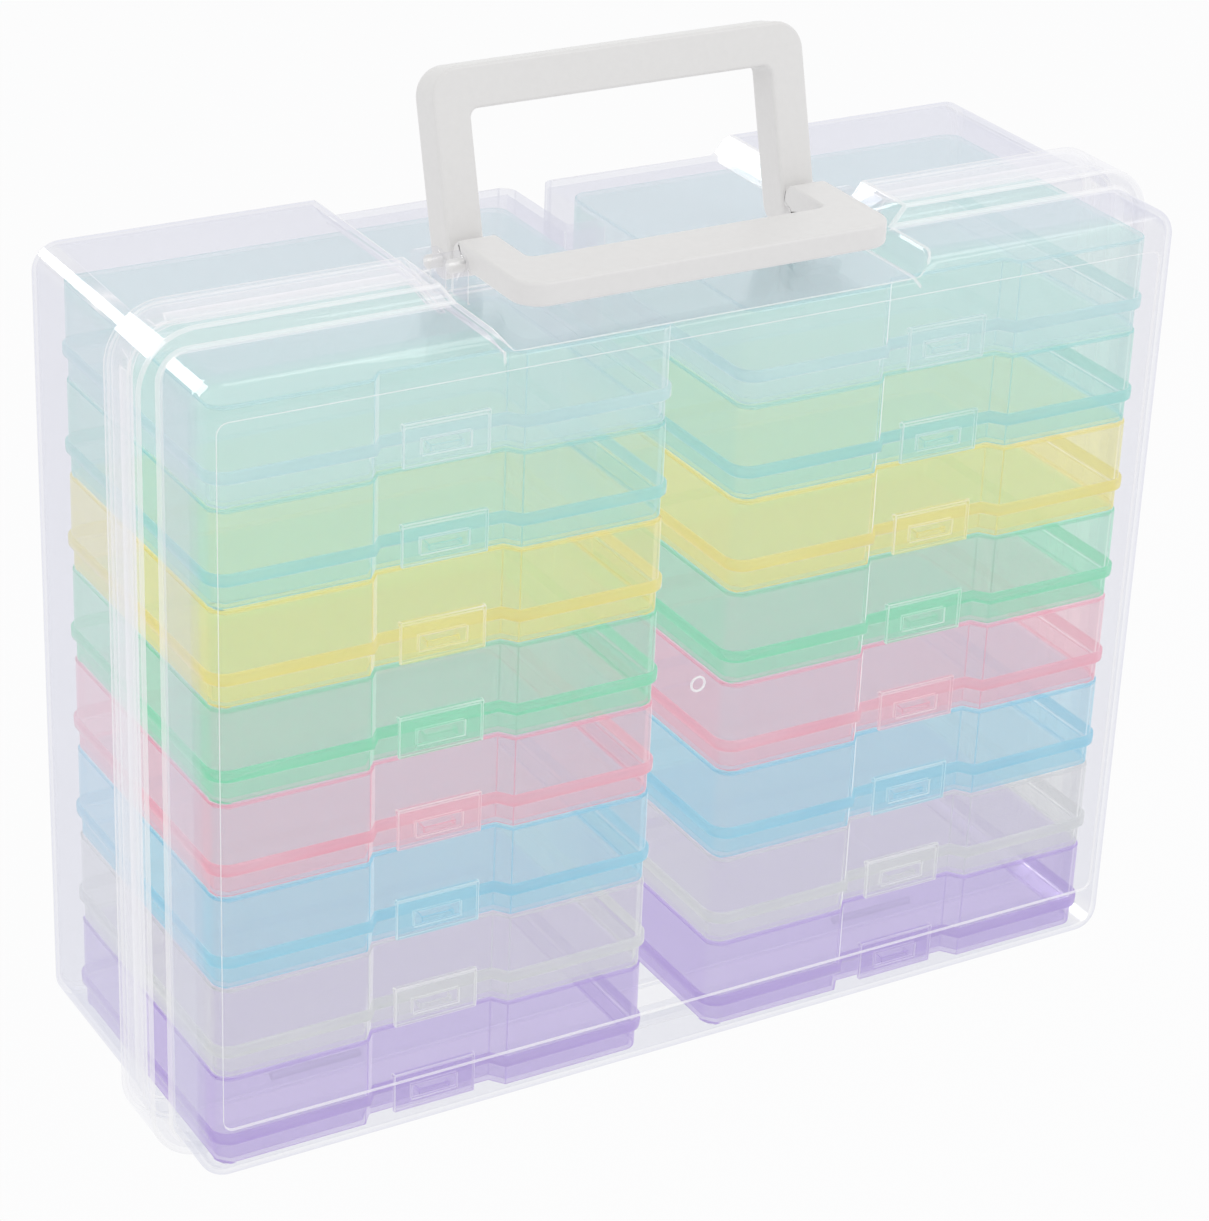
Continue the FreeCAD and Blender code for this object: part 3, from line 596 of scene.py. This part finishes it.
for row, (tint_name, passed, edges, milk, deep) in enumerate(TINTS, start=1):
    resin_name = tint_name + " polypropylene, "
    plastic = moulded(resin_name + "moulded", passed, edges, (milk, milk),
                      milk_share=(0.09, 0.5), slant_power=3.0, roughness=0.08, ripple=0.02)
    tray_wall = moulded(resin_name + "tray wall", passed, edges, (milk, milk),
                        milk_share=(0.2, 0.6), slant_power=2.0, roughness=0.08, ripple=0.02)
    thick = moulded(resin_name + "thick rim", passed, edges, (milk, deep),
                    milk_share=(0.42, 0.75), slant_power=2.0, roughness=0.08, ripple=0.02)
    deep_edge = moulded(resin_name + "deep edge", passed, edges, (deep, deep),
                        milk_share=(0.4, 0.7), slant_power=2.0, roughness=0.08, ripple=0.02)
    # The latches' rounded edges are coloured towards white: a painted highlight.
    latch_painted_highlight = moulded(resin_name + "latch edge, painted highlight", passed, edges, (milk, "#FFFFFF"),
                       milk_share=(0.6, 0.9), slant_power=2.0, roughness=0.06, ripple=0.02)
    for side in ("left", "right"):
        case = f"case_{side}_{row}"
        cover_node, tray_node = (frame["nodes"][f"{case}_{part}"] for part in ("cover", "base"))
        top = max(corner[2] for corner in cover_node.bound_box)
        floor = min(corner[2] for corner in tray_node.bound_box)
        seen_corners = tightened(cover_node)
        cover = dress(case + "_cover", (plastic, deep_edge), CASE_BROKEN, (
            (at_height(top), TOP_ROUND), (at_height(top - CASE_WALL), TOP_FILLET)),
            reshape=seen_corners)
        tray = dress(case + "_base", (plastic, tray_wall, deep_edge), CASE_BROKEN, (
            (at_height(floor), BOTTOM_ROUND), (at_height(floor + CASE_WALL), BOTTOM_FILLET)),
            tray_paint, seen_corners)
        latch = dress(case + "_latch", (tray_wall, latch_painted_highlight), LATCH_BROKEN)
        rim = band_round(case + "_cover", case + "_rim_band", thick)
        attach(rim, case)
        for piece in (cover, tray, latch, rim):
            piece.visible_shadow = False
            piece.visible_diffuse = False
            piece.visible_glossy = False

# Both handles are moulded in opaque white polypropylene with softened edges. Their studs snap
# into the ears beside the channel, and a faint orange peel breaks up their gloss. Its dimples are
# really about 0.5 mm apart, too fine to show, so they are drawn 2.4 mm apart.
HANDLE_ROUND = 0.0012
PEEL_APART_MM = 2.381
PEEL_DEPTH = 0.0005
white = bpy.data.materials.new("white polypropylene, moulded")
white.use_nodes = True
tree = white.node_tree
tree.nodes.clear()
place = add_node(tree, "ShaderNodeTexCoord")
peel = add_node(tree, "ShaderNodeTexNoise", {
    "Vector": place.outputs["Object"], "Scale": 1000 / PEEL_APART_MM, "Detail": 3.0})
shade = add_node(tree, "ShaderNodeMix", {
    "Factor": peel.outputs["Fac"], 6: linear("#E9E8E7"), 7: linear("#E4E3E2")}, data_type="RGBA")
bumps = add_node(tree, "ShaderNodeBump", {
    "Height": peel.outputs["Fac"], "Strength": 0.06, "Distance": PEEL_DEPTH})
gloss = add_node(tree, "ShaderNodeMapRange", {
    "Value": peel.outputs["Fac"], "To Min": 0.28, "To Max": 0.38})
resin = add_node(tree, "ShaderNodeBsdfPrincipled", {
    "Base Color": shade.outputs[2], "Roughness": gloss.outputs[0], "IOR": 1.49,
    "Normal": bumps.outputs[0]})
add_node(tree, "ShaderNodeOutputMaterial", {"Surface": resin.outputs[0]})
for name in ("rear_handle", "front_handle"):
    dress(name, (white,), HANDLE_ROUND)

# The hinge pins are drawn steel wire pushed into the knuckles under the seam. The drawing die
# leaves lines along the wire that stretch its gloss. They are finer than a render can show, so
# they are drawn 0.4 mm apart and 25 mm long.
PIN_BROKEN = 0.0002
LINES_LONG_MM = 25
LINES_APART_MM = 0.4
steel = bpy.data.materials.new("steel wire, drawn")
steel.use_nodes = True
tree = steel.node_tree
tree.nodes.clear()
place = add_node(tree, "ShaderNodeTexCoord")
stretched = add_node(tree, "ShaderNodeMapping", {
    "Vector": place.outputs["Object"],
    "Scale": (1000 / LINES_LONG_MM, 1000 / LINES_APART_MM, 1000 / LINES_APART_MM)})
drawn = add_node(tree, "ShaderNodeTexNoise", {"Vector": stretched.outputs[0], "Scale": 1.0})
shade = add_node(tree, "ShaderNodeMix", {
    "Factor": drawn.outputs["Fac"], 6: linear("#B4B7BB"), 7: linear("#D2D4D7")},
    data_type="RGBA")
scored = add_node(tree, "ShaderNodeMapRange", {
    "Value": drawn.outputs["Fac"], "To Min": 0.22, "To Max": 0.4})
wire = add_node(tree, "ShaderNodeBsdfPrincipled", {
    "Base Color": shade.outputs[2], "Roughness": scored.outputs[0], "Metallic": 1.0})
add_node(tree, "ShaderNodeOutputMaterial", {"Surface": wire.outputs[0]})
for side in ("left", "right"):
    dress("hinge_pin_" + side, (steel,), PIN_BROKEN)
